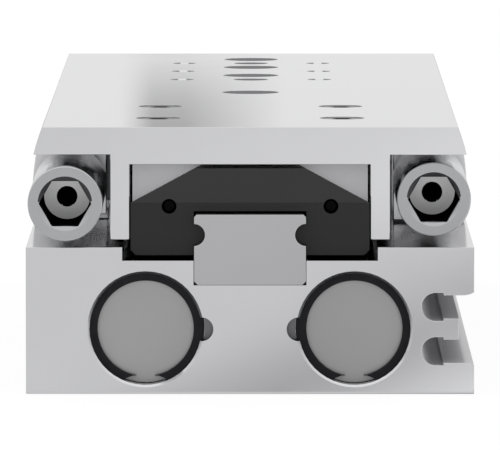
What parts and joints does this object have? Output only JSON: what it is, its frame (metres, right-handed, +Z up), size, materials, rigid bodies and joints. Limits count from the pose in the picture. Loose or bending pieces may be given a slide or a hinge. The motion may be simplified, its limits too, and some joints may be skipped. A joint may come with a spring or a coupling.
{
  "type": "pneumatic slide table",
  "caption": "Pneumatic slide table: side-by-side cylinders in one body push a table on a ball guide, with an adjustable damper on each side.",
  "frame": {"origin": "on the base plane, under the middle of the overall length and width", "axes": "+Y along the travel, from the capped rear end to the yoke; +Z up, out of the table's top; +X to the side with the sensor slots"},
  "size_m": [0.06, 0.186, 0.0356],
  "materials": {
    "anodised_aluminium": "satin clear anodised",
    "machined_aluminium": "fine turned",
    "rail_steel": "ground",
    "polished_steel": "polished",
    "sleeve_steel": "zinc plated",
    "screw_steel": "zinc plated",
    "dark_screw_steel": "black oxide",
    "spring_steel": "phosphated",
    "stop_steel": "hardened",
    "end_cap_plastic": "moulded",
    "wear_ring_plastic": "moulded",
    "magnet_compound": "plastic-bonded ferrite",
    "gland_bronze": "turned",
    "seal_rubber": "matt",
    "buffer_rubber": "matt"
  },
  "bodies": {
    "body": {"body": "anodised_aluminium", "rail": "rail_steel", "rail_screws": "dark_screw_steel", "rear_cap_left": "machined_aluminium", "rear_cap_right": "machined_aluminium", "rear_cap_o_rings": "seal_rubber", "rear_retaining_ring_left": "spring_steel", "rear_retaining_ring_right": "spring_steel", "rod_gland_left": "gland_bronze", "rod_gland_right": "gland_bronze", "gland_o_rings": "seal_rubber", "rod_seals": "seal_rubber", "front_retaining_ring_left": "spring_steel", "front_retaining_ring_right": "spring_steel", "home_damper_holder": "anodised_aluminium", "home_holder_screws": "screw_steel", "home_locking_sleeve": "sleeve_steel", "end_stop": "stop_steel", "end_stop_screw": "dark_screw_steel"},
    "table": {"table": "anodised_aluminium", "carriage_block": "rail_steel", "carriage_screws": "screw_steel", "rear_end_cap": "end_cap_plastic", "front_end_cap": "end_cap_plastic", "rear_wiper": "seal_rubber", "front_wiper": "seal_rubber", "rear_end_cap_screws": "dark_screw_steel", "front_end_cap_screws": "dark_screw_steel", "balls_left": "polished_steel", "balls_right": "polished_steel", "yoke": "anodised_aluminium", "yoke_screws": "screw_steel", "piston_rod_left": "polished_steel", "piston_rod_right": "polished_steel", "rod_screws": "screw_steel", "piston_left": "machined_aluminium", "piston_right": "machined_aluminium", "piston_seals": "seal_rubber", "piston_wear_rings": "wear_ring_plastic", "piston_magnets": "magnet_compound", "home_stop": "stop_steel", "home_stop_screws": "dark_screw_steel", "end_damper_holder": "anodised_aluminium", "end_holder_screws": "screw_steel", "end_locking_sleeve": "sleeve_steel"},
    "home_damper": {"home_damper_barrel": "polished_steel"},
    "home_damper_plunger": {"home_plunger": "polished_steel", "home_buffer": "buffer_rubber"},
    "end_damper": {"end_damper_barrel": "polished_steel"},
    "end_damper_plunger": {"end_plunger": "polished_steel", "end_buffer": "buffer_rubber"}
  },
  "joints": [
    {"name": "table_slide", "type": "slide", "parent": "body", "child": "table", "axis": [0, 1, 0], "range_m": [0, 0.1]},
    {"name": "home_damper_adjust", "type": "slide", "parent": "body", "child": "home_damper", "axis": [0, -1, 0], "range_m": [0, 0.006]},
    {"name": "home_plunger_slide", "type": "slide", "parent": "home_damper", "child": "home_damper_plunger", "axis": [0, -1, 0], "range_m": [0, 0.0035], "stiffness_N_per_m": 500, "springref_m": -0.004},
    {"name": "end_damper_adjust", "type": "slide", "parent": "table", "child": "end_damper", "axis": [0, -1, 0], "range_m": [0, 0.006]},
    {"name": "end_plunger_slide", "type": "slide", "parent": "end_damper", "child": "end_damper_plunger", "axis": [0, -1, 0], "range_m": [0, 0.0035], "stiffness_N_per_m": 500, "springref_m": -0.004}
  ]
}
